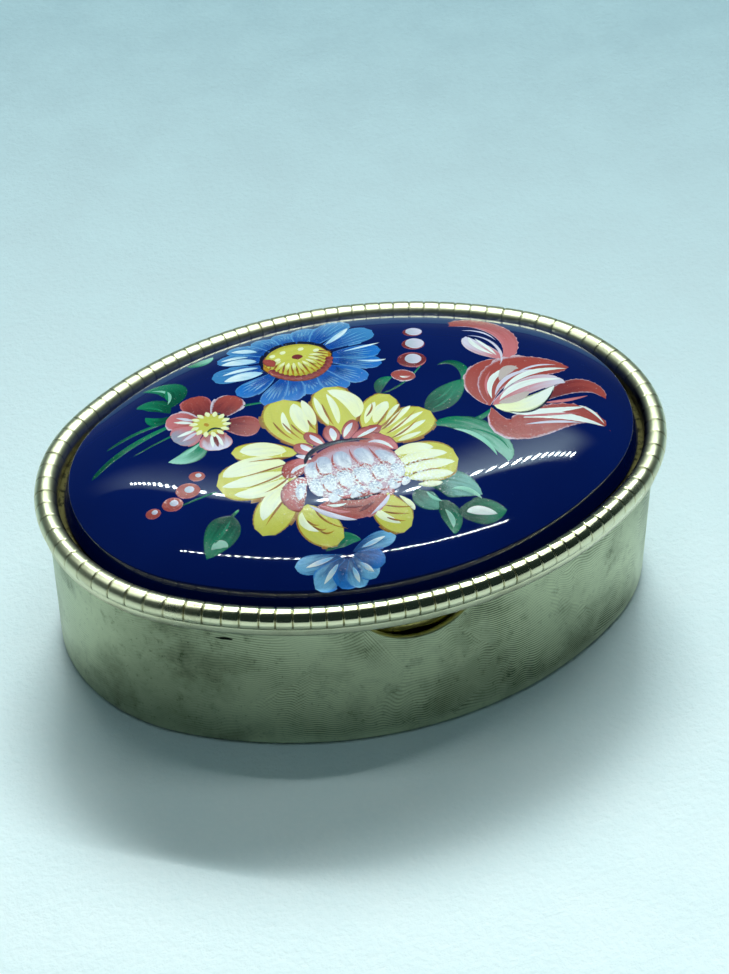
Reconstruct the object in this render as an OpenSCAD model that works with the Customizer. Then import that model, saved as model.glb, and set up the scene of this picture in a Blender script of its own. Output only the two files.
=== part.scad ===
// Oval gilt pill box. A shallow metal body with a thumb notch in its front
// edge, and a hinged lid that carries a domed, painted oval set in a fluted rim.
//
// +Z is up and the origin is at the middle of the underside. X runs along the
// long axis, the thumb notch faces -Y and the hinge is at the back, at +Y.
//
// Every outline is the same four-arc oval, drawn further in or further out.
// Its end arcs and side arcs meet on lines of slope 3:4, so the arc centres of
// all the outlines are shared and every wall keeps one thickness all round.

/* [Overall] */
// Length over the fluted rim of the lid
rim_l = 54; // [50:0.5:66]
// Width over the fluted rim of the lid
rim_w = 39.5; // [32:0.5:48]
// Height of the body, from the table to the seam under the lid
body_h = 13.1; // [9:0.1:20]

/* [Body] */
// How far the body's side stands in from the rim's edge, at the seam
wall_in = 0.95; // [0.8:0.05:1.2]
// Thickness of the sheet that the side band is made of
wall_t = 0.6; // [0.45:0.05:0.75]
// How much further in the side stands at the bottom than at the seam
draft = 0.3; // [0:0.05:0.6]
// Thickness of the bottom plate
bottom_t = 0.5; // [0.4:0.05:0.8]
// How much larger the radius of the turned bottom edge is than the plate's thickness
foot_over = 0.1; // [0.05:0.05:0.4]

/* [Thumb notch] */
// Width of the notch at the body's top edge
notch_w = 9; // [6:0.5:14]
// Depth of the notch
notch_d = 2.2; // [1.4:0.1:3]
// Place of the notch along the front: 0 is the middle, less is to the left
notch_x = -1.5; // [-5:0.25:5]

/* [Lid] */
// Radius of the half-round bead of the rim
bead_r = 0.95; // [0.75:0.05:1.15]
// Height of the bead's centre over the seam
bead_rise = 1.45; // [1.2:0.05:2]
// How far the flange under the bead stands in from the bead's edge
flange_in = 0.35; // [0.2:0.05:0.6]
// Least width of the rim's foot that lies on the pan
rim_land = 0.1; // [0.1:0.05:0.3]
// Gap at the seam between the closed lid and the body
seam_gap = 0.06; // [0.04:0.01:0.15]
// Depth of the pan's skirt below the seam
skirt_h = 1.85; // [1.2:0.05:3]
// Thickness of the pan's skirt
skirt_t = 0.35; // [0.3:0.05:0.6]
// Clearance between the pan's skirt and the body
plug_gap = 0.15; // [0.12:0.01:0.3]
// Thickness of the pan's top
pan_t = 0.4; // [0.3:0.05:0.6]
// Height of the underside of the pan's top over the seam
pan_rise = 0.4; // [0.3:0.05:0.6]

/* [Painted oval] */
// Thickness of the cement under the painted oval
cement_t = 0.25; // [0.15:0.05:0.5]
// How far the cement stops short of the oval's foot
cement_in = 0.5; // [0.3:0.1:2]
// Gap between the rim and the oval's foot
oval_gap = 0.5; // [0.3:0.05:2]
// How far the oval's side leans in, from its foot to its shoulder
oval_lean = 0.48; // [0.2:0.02:1]
// Height of the oval's side, from its foot to its shoulder
oval_side_h = 1.5; // [0.8:0.05:2.5]
// Height of the dome over its shoulder
crown_h = 2.4; // [1:0.1:4]
// How full the dome is: a higher number gives a flatter top and rounder shoulders
crown_full = 3; // [2:0.5:6]

/* [Hinge] */
// Radius of the hinge barrel
barrel_r = 0.9; // [0.75:0.05:1.1]
// Length of the hinge barrel
barrel_l = 11.5; // [8:0.5:14]
// Gap between two neighbouring knuckles
knuckle_gap = 0.12; // [0.08:0.01:0.25]
// Radius of the hinge pin
pin_r = 0.4; // [0.3:0.05:0.5]
// Running clearance between the pin and a knuckle
pin_fit = 0.04; // [0.02:0.01:0.08]
// Clearance round the barrel where it sinks into the body and the rim
seat_gap = 0.1; // [0.08:0.01:0.15]
// Depth of the barrel's seat in the middle of the body's back
seat_depth = 0.4; // [0.3:0.05:0.5]
// Height of the body's bearer
base_bearer_h = 1.85; // [1.3:0.05:2.5]
// Height of the lid's bearer
lid_bearer_h = 0.7; // [0.5:0.05:0.8]
// Length of each stop, past the end of the barrel
stop_l = 1.4; // [1:0.1:3]
// How far a stop reaches behind the pin's axis
stop_reach = 0.6; // [0.5:0.05:0.75]
// Angle at which the stops meet the body's bearer
stop_angle = 107.5; // [106:0.5:115]

/* [Hidden] */
$fn = 96;

// The four-arc oval: end arcs about (end_x, 0), side arcs about (0, side_y).
arc_step = (rim_l - rim_w) / 4;
end_x = 3 * arc_step;
side_y = 4 * arc_step;
end_r = rim_l / 2 - end_x;
side_r = end_r + 5 * arc_step;
// A length that reaches well past the box on every side
far = 200;

// Heights
seam_z = body_h + seam_gap;
bead_z = body_h + bead_rise;
pan_z = body_h + pan_rise;
pan_top = pan_z + pan_t;
oval_foot_z = pan_top + cement_t;
shoulder_z = oval_foot_z + oval_side_h;

// Insets from the rim's edge
band_inner_in = wall_in + wall_t;
foot_in = wall_in + draft;
foot_r = bottom_t + foot_over;
skirt_in = band_inner_in + draft * skirt_h / body_h + plug_gap;
rim_inner_in = max(2 * bead_r, skirt_in + rim_land);
oval_foot_in = rim_inner_in + oval_gap;
shoulder_in = oval_foot_in + oval_lean;

// Hinge. The open lid's stops come down on the body's bearer, whose back stands
// bearer_back in front of the pin's axis. The bearer is cut to the oval's curve
// out of a bar that starts bearer_root inside the body's back.
back_y = rim_w / 2 - wall_in;
axis_y = back_y + barrel_r + seat_gap - seat_depth;
axis_z = body_h;
bearer_l = barrel_l + 2 * (seat_gap + stop_l);
bearer_root = 2;
bearer_back = stop_reach * sin(stop_angle - 90) - seam_gap * cos(stop_angle - 90);
knuckle_n = 5;
knuckle_l = (barrel_l - (knuckle_n - 1) * knuckle_gap) / knuckle_n;
knuckle_step = knuckle_l + knuckle_gap;

// Height of the dome over its shoulder, at a share of the way in from 0 to 1
function crown(share) = crown_h * (1 - pow(1 - share, crown_full));

// ---- Ways of drawing the oval ----

// The oval outline as a flat shape, drawn in from the rim's edge by inset
module oval(inset) {
    tip_r = end_r - inset;
    join_x = end_x + 0.6 * tip_r;
    for (side = [-1, 1])
        translate([side * end_x, 0])
            circle(r = tip_r, $fn = 180);
    intersection() {
        translate([0, side_y])
            circle(r = side_r - inset, $fn = 360);
        translate([0, -side_y])
            circle(r = side_r - inset, $fn = 360);
        square([2 * join_x, 2 * far], center = true);
    }
}

module oval_slab(inset, z0, z1) {
    translate([0, 0, z0])
        linear_extrude(height = z1 - z0)
            oval(inset);
}

// Sweeps a section round the oval. The section is drawn with x as the inset
// from the rim's edge and y as the height.
module oval_sweep() {
    for (side = [-1, 1]) {
        intersection() {
            translate([side * end_x, 0, 0])
                rotate_extrude($fn = 180)
                    translate([end_r, 0])
                        mirror([1, 0])
                            children();
            translate([side * end_x, 0, -far])
                linear_extrude(height = 2 * far)
                    polygon(side * far * [[0, 0], [0.6, -0.8], [1, 0], [0.6, 0.8]]);
        }
        intersection() {
            translate([0, -side * side_y, 0])
                rotate_extrude($fn = 360)
                    translate([side_r, 0])
                        mirror([1, 0])
                            children();
            translate([0, -side * side_y, -far])
                linear_extrude(height = 2 * far)
                    polygon(side * far * [[0, 0], [0.6, 0.8], [-0.6, 0.8]]);
        }
    }
}

// A bar along X between two places, drawn round the pin's axis
module axis_rod(r, x0, x1) {
    translate([x0, axis_y, axis_z])
        rotate([0, 90, 0])
            cylinder(r = r, h = x1 - x0);
}

function knuckle_x(i) = -barrel_l / 2 + i * knuckle_step;

module knuckle(i) {
    difference() {
        axis_rod(barrel_r, knuckle_x(i), knuckle_x(i) + knuckle_l);
        axis_rod(pin_r + pin_fit, knuckle_x(i) - 1, knuckle_x(i) + knuckle_l + 1);
    }
}

// The seat for the whole barrel, with room to turn
module barrel_seat() {
    axis_rod(barrel_r + seat_gap, -barrel_l / 2 - seat_gap, barrel_l / 2 + seat_gap);
}

// The seat in a bearer: tight on its own knuckles, with room round the others
module bearer_seat(first) {
    for (i = [first : 2 : knuckle_n - 1])
        axis_rod(barrel_r, knuckle_x(i) - knuckle_gap / 2, knuckle_x(i) + knuckle_l + knuckle_gap / 2);
    for (i = [1 - first : 2 : knuckle_n - 1])
        axis_rod(barrel_r + seat_gap, knuckle_x(i) - knuckle_gap, knuckle_x(i) + knuckle_l + knuckle_gap);
}

// ---- Body ----

// Section of the side band: a drawn side and a turned bottom edge
module band_section() {
    polygon([
        [wall_in, body_h],
        [foot_in, foot_r],
        [foot_in + wall_t, foot_r],
        [band_inner_in, body_h]
    ]);
    translate([foot_in + foot_r, foot_r])
        intersection() {
            circle(r = foot_r);
            translate([-foot_r, -foot_r])
                square(foot_r);
        }
}

module side_band() {
    notch_r = (pow(notch_w / 2, 2) + pow(notch_d, 2)) / (2 * notch_d);
    color([0.62, 0.66, 0.53])
        difference() {
            oval_sweep()
                band_section();
            translate([notch_x, 0, body_h - notch_d + notch_r])
                rotate([90, 0, 0])
                    cylinder(r = notch_r, h = rim_w);
            barrel_seat();
        }
}

module bottom_plate() {
    color([0.6, 0.64, 0.5])
        oval_slab(foot_in + foot_r, 0, bottom_t);
}

module base_hinge_bearer() {
    color([0.66, 0.68, 0.5])
        difference() {
            translate([-bearer_l / 2, back_y - bearer_root, body_h - base_bearer_h])
                cube([bearer_l, axis_y - bearer_back - back_y + bearer_root, base_bearer_h]);
            oval_slab(wall_in, 0, body_h + 1);
            bearer_seat(0);
        }
}

module hinge_pin() {
    color([0.75, 0.74, 0.6])
        axis_rod(pin_r, -barrel_l / 2, barrel_l / 2);
}

// ---- Lid ----

// Section of the rim: a half-round bead over a flange that seats on the pan
module rim_section() {
    translate([bead_r, bead_z])
        circle(r = bead_r, $fn = 64);
    polygon([
        [flange_in, seam_z],
        [skirt_in, seam_z],
        [skirt_in, pan_top],
        [rim_inner_in, pan_top],
        [rim_inner_in, bead_z],
        [flange_in, bead_z]
    ]);
}

module rim_ring() {
    oval_sweep()
        rim_section();
}

// The straight bar that is let into the underside of the rim at the back. Past
// each end of the barrel it reaches on, and stops the open lid there.
module lid_bearer_bar() {
    bar_y = rim_w / 2 - skirt_in;
    translate([-bearer_l / 2, bar_y, seam_z])
        cube([bearer_l, axis_y - bar_y, lid_bearer_h]);
    for (x0 = [-bearer_l / 2, bearer_l / 2 - stop_l])
        translate([x0, bar_y, seam_z])
            cube([stop_l, axis_y + stop_reach - bar_y, lid_bearer_h]);
}

module lid_rim() {
    color([0.85, 0.86, 0.68])
        difference() {
            rim_ring();
            lid_bearer_bar();
            barrel_seat();
        }
}

module lid_pan() {
    color([0.72, 0.7, 0.42])
        difference() {
            oval_slab(skirt_in, body_h - skirt_h, pan_top);
            oval_slab(skirt_in + skirt_t, body_h - skirt_h - 1, pan_z);
        }
}

module lid_hinge_bearer() {
    color([0.7, 0.7, 0.5])
        difference() {
            lid_bearer_bar();
            bearer_seat(1);
        }
}

module cement_bed() {
    color([0.8, 0.78, 0.7])
        oval_slab(oval_foot_in + cement_in, pan_top, oval_foot_z);
}

// Section of the painted oval, from its foot over the shoulder to the crown
module painted_oval_section() {
    steps = 20;
    reach = end_r - shoulder_in;
    polygon(concat(
        [[end_r, oval_foot_z], [oval_foot_in, oval_foot_z]],
        [for (i = [0 : steps]) [shoulder_in + reach * i / steps, shoulder_z + crown(i / steps)]]
    ));
}

module painted_oval() {
    color([0.03, 0.1, 0.35])
        union() {
            oval_sweep()
                painted_oval_section();
            // the level middle of the dome, between the two end centres
            translate([0, 0, oval_foot_z])
                linear_extrude(height = shoulder_z + crown_h - oval_foot_z)
                    intersection() {
                        translate([0, side_y])
                            circle(r = 5 * arc_step, $fn = 180);
                        translate([0, -side_y])
                            circle(r = 5 * arc_step, $fn = 180);
                    }
        }
}

side_band();
bottom_plate();
base_hinge_bearer();
color([0.7, 0.7, 0.52]) knuckle(0);  // base_knuckle_left
color([0.7, 0.7, 0.52]) knuckle(2);  // base_knuckle_centre
color([0.7, 0.7, 0.52]) knuckle(4);  // base_knuckle_right
hinge_pin();
lid_rim();
lid_pan();
lid_hinge_bearer();
color([0.74, 0.73, 0.55]) knuckle(1);  // lid_knuckle_left
color([0.74, 0.73, 0.55]) knuckle(3);  // lid_knuckle_right
cement_bed();
painted_oval();
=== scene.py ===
import math

import bpy
import numpy as np
from mathutils import Matrix, Vector


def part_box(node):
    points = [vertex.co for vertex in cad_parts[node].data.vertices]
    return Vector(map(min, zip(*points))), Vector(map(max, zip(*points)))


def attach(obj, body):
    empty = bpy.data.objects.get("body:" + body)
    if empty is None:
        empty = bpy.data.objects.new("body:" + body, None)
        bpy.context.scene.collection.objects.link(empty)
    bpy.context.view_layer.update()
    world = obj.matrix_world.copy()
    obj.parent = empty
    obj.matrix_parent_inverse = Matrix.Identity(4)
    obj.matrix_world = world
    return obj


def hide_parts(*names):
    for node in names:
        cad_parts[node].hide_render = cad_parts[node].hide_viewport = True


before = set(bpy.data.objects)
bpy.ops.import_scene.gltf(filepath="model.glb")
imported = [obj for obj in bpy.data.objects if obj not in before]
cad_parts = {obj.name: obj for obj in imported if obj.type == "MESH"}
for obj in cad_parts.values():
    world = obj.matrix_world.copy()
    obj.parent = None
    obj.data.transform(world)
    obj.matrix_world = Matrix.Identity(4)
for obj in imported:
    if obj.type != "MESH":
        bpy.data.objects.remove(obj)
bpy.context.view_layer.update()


# ========================================
# Side band: one strip of pale gilt brass, drawn up into an oval and turned in at the
# foot. Its face is brushed by hand in short wavy passes, and its lacquer has tarnished.
# Its tone is also painted darker at the front left as shade, and paler at the right end
# as a painted reflection.
# ========================================

MM = 0.001

rim_low, rim_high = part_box("lid_rim")
band_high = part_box("side_band")[1]

# The four-arc oval that every outline of the box follows: end arcs about (end_x, 0) and
# side arcs about (0, side_y), which meet where their normal has the slope 4:3.
half_length = rim_high[0] / MM
half_width = rim_high[1] / MM
arc_step = (half_length - half_width) / 2
end_x = 3 * arc_step
side_y = 4 * arc_step
end_r = half_length - end_x
side_r = end_r + 5 * arc_step
corner = math.atan2(4, 3)


def oval_xy(inset, turn):
    """Points of the oval that stands in from the rim's edge by inset, where the outward
    normal points at the angle turn. Both may be arrays. In millimetres."""
    turn = np.asarray(turn, float)
    across, up = np.cos(turn), np.sin(turn)
    at_end = np.abs(up) < math.sin(corner)
    x = np.where(at_end, np.sign(across) * end_x + (end_r - inset) * across, (side_r - inset) * across)
    y = np.where(at_end, (end_r - inset) * up, (side_r - inset) * up - np.sign(up) * side_y)
    return x, y


def turns_by_centre_angle(angles, inset):
    """The normal's angle where a line from the middle of the box at each angle crosses the oval."""
    fine = np.linspace(-math.pi, 3 * math.pi, 40001)
    x, y = oval_xy(inset, fine)
    centre = np.unwrap(np.arctan2(y, x))
    return np.interp(angles, centre, fine)


def hump(x, middle, reach):
    """A smooth hump of height 1 at middle, which has all but gone at twice its reach."""
    return np.exp(-((x - middle) / reach) ** 2)


def add_piece(name, points, faces, values):
    """An object from points in millimetres, with a mesh attribute for each item of values:
    one number a point, or four for a colour."""
    mesh = bpy.data.meshes.new(name)
    mesh.from_pydata((np.asarray(points) * MM).tolist(), [], faces)
    mesh.polygons.foreach_set("use_smooth", [True] * len(mesh.polygons))
    for label, numbers in values.items():
        numbers = np.asarray(numbers, np.float32)
        is_colour = numbers.size > len(points)
        attribute = mesh.attributes.new(label, "FLOAT_COLOR" if is_colour else "FLOAT", "POINT")
        attribute.data.foreach_set("color" if is_colour else "value", numbers.reshape(-1))
    piece = bpy.data.objects.new(name, mesh)
    bpy.context.scene.collection.objects.link(piece)
    return piece


def grid_mesh(name, points, closed_u=True, closed_v=False, values=None):
    """A piece over a grid of points (rows u, columns v, xyz in millimetres). Each item of
    values is a grid that becomes a mesh attribute."""
    rows, columns = points.shape[:2]
    index = np.arange(rows * columns).reshape(rows, columns)
    u1 = np.roll(index, -1, axis=0) if closed_u else index[1:]
    u0 = index if closed_u else index[:-1]
    if closed_v:
        quads = np.stack([u0, u1, np.roll(u1, -1, axis=1), np.roll(u0, -1, axis=1)], -1)
    else:
        quads = np.stack([u0[:, :-1], u1[:, :-1], u1[:, 1:], u0[:, 1:]], -1)
    return add_piece(name, points.reshape(-1, 3), quads.reshape(-1, 4).tolist(), values or {})


class Wire:
    """One output socket of a material's nodes, so that shader maths reads as arithmetic."""

    def __init__(self, finish, socket):
        self.finish = finish
        self.socket = socket

    def maths(self, operation, *others):
        """What a maths node makes of this value and the others."""
        numbers = dict(enumerate((self, *others)))
        return self.finish.node("ShaderNodeMath", {"operation": operation}, numbers)

    def __add__(self, other):
        return self.maths("ADD", other)

    def __sub__(self, other):
        return self.maths("SUBTRACT", other)

    def __rsub__(self, other):
        return self.finish.node("ShaderNodeMath", {"operation": "SUBTRACT"}, {0: other, 1: self})

    def __mul__(self, other):
        return self.maths("MULTIPLY", other)

    def __abs__(self):
        return self.maths("ABSOLUTE")

    def step(self, low, high):
        """0 below low and 1 above high, with a smooth rise between them."""
        return self.finish.node("ShaderNodeMapRange", {"interpolation_type": "SMOOTHSTEP"},
                                {"Value": self, "From Min": low, "From Max": high})

    def clear(self):
        """The same value, kept between 0 and 1."""
        return self.maths("MAXIMUM", 0.0).maths("MINIMUM", 1.0)


class Finish:
    """A material: its nodes, and the Principled shader that they feed."""

    def __init__(self, name, **sockets):
        self.material = bpy.data.materials.new(name)
        self.material.use_nodes = True
        self.tree = self.material.node_tree
        self.tree.nodes.clear()
        self.shader = self.tree.nodes.new("ShaderNodeBsdfPrincipled")
        self.end = self.tree.nodes.new("ShaderNodeOutputMaterial")
        self.tree.links.new(self.shader.outputs[0], self.end.inputs["Surface"])
        self.feed(**sockets)

    def set_socket(self, socket, value):
        if isinstance(value, Wire):
            self.tree.links.new(value.socket, socket)
        else:
            socket.default_value = value

    def feed(self, **sockets):
        """Sets or links inputs of the Principled shader: Base_Color is its Base Color."""
        for label, value in sockets.items():
            self.set_socket(self.shader.inputs[label.replace("_", " ")], value)

    def node(self, kind, settings=None, sockets=None, out=0):
        """Adds a node with its settings and inputs, and gives the output named out."""
        node = self.tree.nodes.new(kind)
        for label, value in (settings or {}).items():
            setattr(node, label, value)
        for label, value in (sockets or {}).items():
            self.set_socket(node.inputs[label], value)
        return Wire(self, node.outputs[out])

    def vector(self, operation, first, second=(0, 0, 0), out=0):
        return self.node("ShaderNodeVectorMath", {"operation": operation}, {0: first, 1: second}, out)

    def axes(self, place):
        """The x, y and z of a place."""
        x = self.node("ShaderNodeSeparateXYZ", None, {0: place})
        return [Wire(self, output) for output in x.socket.node.outputs]

    def place(self, stretch=(1, 1, 1)):
        """The place on the object in millimetres, stretched along each axis."""
        coordinates = self.node("ShaderNodeTexCoord", out="Object")
        return self.vector("MULTIPLY", coordinates, tuple(share / MM for share in stretch))

    def noise(self, scale, detail, roughness, place=None):
        """Noise from 0 to 1, with scale in waves per millimetre."""
        return self.node("ShaderNodeTexNoise", None, {
            "Vector": place or self.place(), "Scale": scale, "Detail": detail, "Roughness": roughness})

    def value(self, label, out="Fac"):
        """A number kept on the mesh, or with out="Color" a colour."""
        return self.node("ShaderNodeAttribute", {"attribute_name": label}, out=out)

    def mix(self, factor, first, second):
        """A colour between first and second."""
        return self.node("ShaderNodeMix", {"data_type": "RGBA"}, {0: factor, 6: first, 7: second}, out=2)

    def bump(self, height, depth, strength=1.0):
        """A normal from a height that runs from 0 to 1 over depth millimetres."""
        sockets = {"Height": height, "Distance": depth * MM, "Strength": strength}
        return self.node("ShaderNodeBump", None, sockets)


def rgb(red, green, blue):
    """A colour from its 0 to 255 screen values."""
    def linear(part):
        part = part / 255
        return part / 12.92 if part <= 0.04045 else ((part + 0.055) / 1.055) ** 2.4
    return (linear(red), linear(green), linear(blue), 1.0)


def gilt(name, shine, dull, light=(236, 232, 190), dark=(150, 150, 104), tarnish=0.5):
    """Worn gilt plate: fine scratches, small pits and clouds of tarnish over pale gold."""
    finish = Finish(name, Metallic=1.0)
    clouds = finish.noise(0.22, 5, 0.62).step(0.42, 0.68)
    specks = finish.noise(3.2, 3, 0.6).step(0.62, 0.74)
    scratches = finish.noise(1.0, 4, 0.7, finish.place((0.7, 0.7, 9.0)))
    worn = (clouds * tarnish + specks * tarnish * 0.5).clear()
    finish.feed(Base_Color=finish.mix(worn, rgb(*light), rgb(*dark)),
                Roughness=(worn * (dull - shine) + shine + (scratches - 0.5) * 0.12).clear(),
                Normal=finish.bump(scratches + specks * 0.6, 0.004, 0.5))
    return finish.material


wall_in = half_length - band_high[0] / MM
seam = band_high[2] / MM
wall_t = 0.6
draft = 0.3
foot_r = 0.6
foot_in = wall_in + draft
notch_w = 9.0
notch_d = 2.2
notch_x = -1.5
notch_r = (notch_w ** 2 / 4 + notch_d ** 2) / (2 * notch_d)
edge_round = 0.05

pin_low, pin_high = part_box("hinge_pin")
axis_y = (pin_low[1] + pin_high[1]) / 2 / MM
axis_z = (pin_low[2] + pin_high[2]) / 2 / MM
seat_gap = 0.1
seat_r = (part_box("base_knuckle_left")[1][1] / MM - axis_y) + seat_gap
seat_half = pin_high[0] / MM + seat_gap


def cut_barrel_seat(points):
    """Moves the points that the hinge's barrel would cut forward, on to the wall of its seat."""
    x, y, z = points[..., 0], points[..., 1], points[..., 2]
    rise = z - axis_z
    wall = axis_y - np.sqrt(np.maximum(seat_r ** 2 - rise ** 2, 0))
    inside = (np.abs(x) < seat_half) & (np.abs(rise) < seat_r) & (y > wall)
    points[..., 1] = np.where(inside, wall, y)
    return points


# Shares of the way round from the middle of the back, past the left end and the front:
# where the brushing is worn smooth, where painted shade is darkest and where a painted
# reflection is palest
worn_smooth_at = 0.31
painted_shade_at = 0.34
painted_sheen_at = 0.73

band_turns = 720
wall_rows = 220
line_depth = 0.034
fade_at_foot = 0.8
fade_at_seam = 0.2
turn = math.pi / 2 + np.arange(band_turns) * 2 * math.pi / band_turns
turn = turns_by_centre_angle(turn, wall_in)
mid_x, mid_y = oval_xy(wall_in, turn)
run = np.concatenate([[0], np.cumsum(np.hypot(np.diff(mid_x), np.diff(mid_y)))])
girth = run[-1] + math.hypot(mid_x[0] - mid_x[-1], mid_y[0] - mid_y[-1])


def brushed_height(along, height):
    """How deep the brushed lines are, from 0 to 1, along the wall and up it. The lines run
    level, rise in arcs and break where one pass of the brush meets the next."""
    pitch = 0.27
    pass_l = girth / 30
    round_box = 2 * math.pi * along / girth
    lap = along / pass_l + 0.5 * np.sin(height / 2.1 + along / 9) + 0.25 * np.sin(along / 5.3)
    arc = np.abs(np.sin(math.pi * lap / 2)) ** 0.8
    slow = np.sin(round_box * 9 + height / 5) + 0.7 * np.sin(round_box * 4 + 2)
    shaken = 0.5 + 0.5 * np.sin(round_box * 7 + height / 1.9 + 2 * np.sin(along / 6))
    ripple = shaken * np.sin(2 * math.pi * along / 2.6 + 1.2 * np.sin(height / 1.7))
    phase = (height + 0.75 * arc + 0.5 * slow + 0.26 * ripple) / pitch
    line = (0.5 + 0.5 * np.cos(2 * math.pi * phase)) ** 2
    patch = 0.55 + 0.45 * np.sin(round_box * 7 + height / 2.9 + 1.3 * np.sin(along / 3.1))
    return line * (0.25 + 0.75 * patch) * (1 - 0.85 * hump(along / girth, worn_smooth_at, 0.1))


notch_centre_z = seam - notch_d + notch_r
columns = []
depths = []


def top_at(x, y):
    """Height of the band's top edge: the seam, or the floor of the thumb notch."""
    dip = notch_centre_z - np.sqrt(np.maximum(notch_r ** 2 - (x - notch_x) ** 2, 0))
    return np.where((np.abs(x - notch_x) < notch_w / 2) & (y < 0), dip, seam)


def band_column(inset, z, depth=0.0):
    """One line of points round the band, and how deep the brushing is there."""
    x, y = oval_xy(inset, turn)
    columns.append(np.stack([x, y, np.broadcast_to(z, x.shape)], -1))
    depths.append(np.broadcast_to(depth, x.shape))


def band_inset(z):
    """How far the outside of the band stands in from the rim's edge at a height."""
    return wall_in + draft * (seam - z) / (seam - foot_r)


outer_top = top_at(mid_x, mid_y)
inner_x, inner_y = oval_xy(wall_in + wall_t, turn)
inner_top = top_at(inner_x, inner_y)
band_column(wall_in + edge_round, outer_top)
for share in np.linspace(0, 1, wall_rows):
    z = outer_top - edge_round + (foot_r - outer_top + edge_round) * share
    line = brushed_height(run, z) * np.clip((z - foot_r) / fade_at_foot, 0, 1)
    line = line * np.clip((seam - z) / fade_at_seam, 0, 1)
    band_column(band_inset(z) + line_depth * line, z, line)
for quarter in np.linspace(0, math.pi / 2, 9)[1:]:
    band_column(foot_in + foot_r * (1 - math.cos(quarter)), foot_r * (1 - math.sin(quarter)))
band_column(foot_in + foot_r, foot_r)
for share in np.linspace(0, 1, 8):
    z = foot_r + (inner_top - edge_round - foot_r) * share
    band_column(band_inset(z) + wall_t, z)
band_column(wall_in + wall_t - edge_round, inner_top)

share_round = np.repeat((run / girth)[:, None], len(columns), axis=1)
# Painted shade at the front left, and a paler painted reflection at the right end
painted_side_shade_grid = 0.55 * hump(share_round, painted_shade_at, 0.05) - 0.65 * hump(share_round, painted_sheen_at, 0.05)
side_band = grid_mesh("side_band_brushed", cut_barrel_seat(np.stack(columns, 1)), closed_v=True,
                      values={"line": np.stack(depths, 1), "tarnish": painted_side_shade_grid})

brushed = Finish("brushed_gilt_band", Metallic=1.0)
line = brushed.value("line")
clouds = brushed.noise(0.16, 5, 0.6).step(0.42, 0.66)
stains = brushed.noise(0.55, 6, 0.7, brushed.place((1, 1, 0.8))).step(0.55, 0.72)
specks = brushed.noise(4.5, 3, 0.6).step(0.64, 0.76)
grain = brushed.noise(2.2, 3, 0.6, brushed.place((0.6, 0.6, 3.0)))
fine_specks = brushed.noise(1.7, 6, 0.75).step(0.56, 0.7)
blotches = brushed.noise(0.45, 5, 0.65)
# The painted shade and painted reflection round the band, broken up by blotches
tarnish = brushed.value("tarnish") * (blotches * 0.9 + 0.25)
worn = (clouds * 0.36 + stains * 0.3 + specks * 0.4 + fine_specks * 0.3 + line * 0.95 + tarnish).clear()
# One black chip under the rim, on the left of the front
chip_off = brushed.vector("SUBTRACT", brushed.place(), (-16.4, -14.5, 12.0))
chip_off = brushed.vector("MULTIPLY", chip_off, (1.0, 1.0, 4.5))
chip_far = brushed.vector("LENGTH", chip_off, out="Value")
chip = 1 - (chip_far + (grain - 0.5) * 0.9).step(0.6, 0.8)
plated = brushed.mix(worn, rgb(211, 217, 180), rgb(84, 94, 68))
brushed.feed(Base_Color=brushed.mix(chip, plated, rgb(6, 8, 6)),
             Roughness=(worn * 0.18 + 0.3 + (grain - 0.5) * 0.1).clear(),
             Normal=brushed.bump(grain * 0.6 + specks * 0.4 - line * 0.4, 0.012, 0.6))
side_band.data.materials.append(brushed.material)
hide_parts("side_band")
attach(side_band, "base")


# ========================================
# Bottom plate and hinge: a flat gilt plate soldered in the foot, two bearers of square
# gilt bar, five knuckles of drawn tube soldered to them, and a steel pin through all.
# ========================================

plate_gilt = gilt("gilt_bottom_plate", 0.22, 0.5)
hinge_gilt = gilt("gilt_hinge", 0.2, 0.42, light=(232, 226, 178), tarnish=0.6)

steel = Finish("drawn_steel_pin", Metallic=1.0)
drawn = steel.noise(3.0, 3, 0.6, steel.place((0.3, 8, 8)))
rust = steel.noise(1.4, 4, 0.7).step(0.55, 0.75)
steel.feed(Base_Color=steel.mix(rust, rgb(196, 200, 202), rgb(120, 104, 86)),
           Roughness=(drawn * 0.15 + rust * 0.25 + 0.2).clear(),
           Normal=steel.bump(drawn, 0.004, 0.5))


def finish_nodes(material, *nodes):
    """Gives carried-over parts of the frame their real finish."""
    for label in nodes:
        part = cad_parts[label]
        for place in range(len(part.material_slots)):
            part.material_slots[place].material = material


finish_nodes(plate_gilt, "bottom_plate")
finish_nodes(hinge_gilt, "base_hinge_bearer", "base_knuckle_left", "base_knuckle_centre",
             "base_knuckle_right", "lid_hinge_bearer", "lid_knuckle_left", "lid_knuckle_right")
finish_nodes(steel.material, "hinge_pin")


# ========================================
# Lid pan and cement: a shallow pan spun from gilt sheet, bright on its skirt where it
# rubs in the body and painted dark on its top as shade in the gap round the oval, and the
# pale cement that beds the painted oval on it.
# ========================================

pan = Finish("gilt_pan", Metallic=1.0)
# Painted shade: the top of the pan, seen in the gap round the painted oval, is made dark
shaded_top = pan.axes(pan.place())[2].step(seam + 0.1, seam + 0.5)
pan_scuffs = pan.noise(1.0, 4, 0.7, pan.place((1, 1, 6)))
pan_spots = pan.noise(2.4, 4, 0.65).step(0.52, 0.68)
pan.feed(Base_Color=pan.mix((pan_spots * 0.6 + shaded_top * 0.9).clear(), rgb(224, 206, 122), rgb(58, 54, 36)),
         Roughness=(pan_scuffs * 0.15 + pan_spots * 0.2 + shaded_top * 0.35 + 0.1).clear(),
         Normal=pan.bump(pan_scuffs + pan_spots * 0.5, 0.006, 0.5))
finish_nodes(pan.material, "lid_pan")

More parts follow.
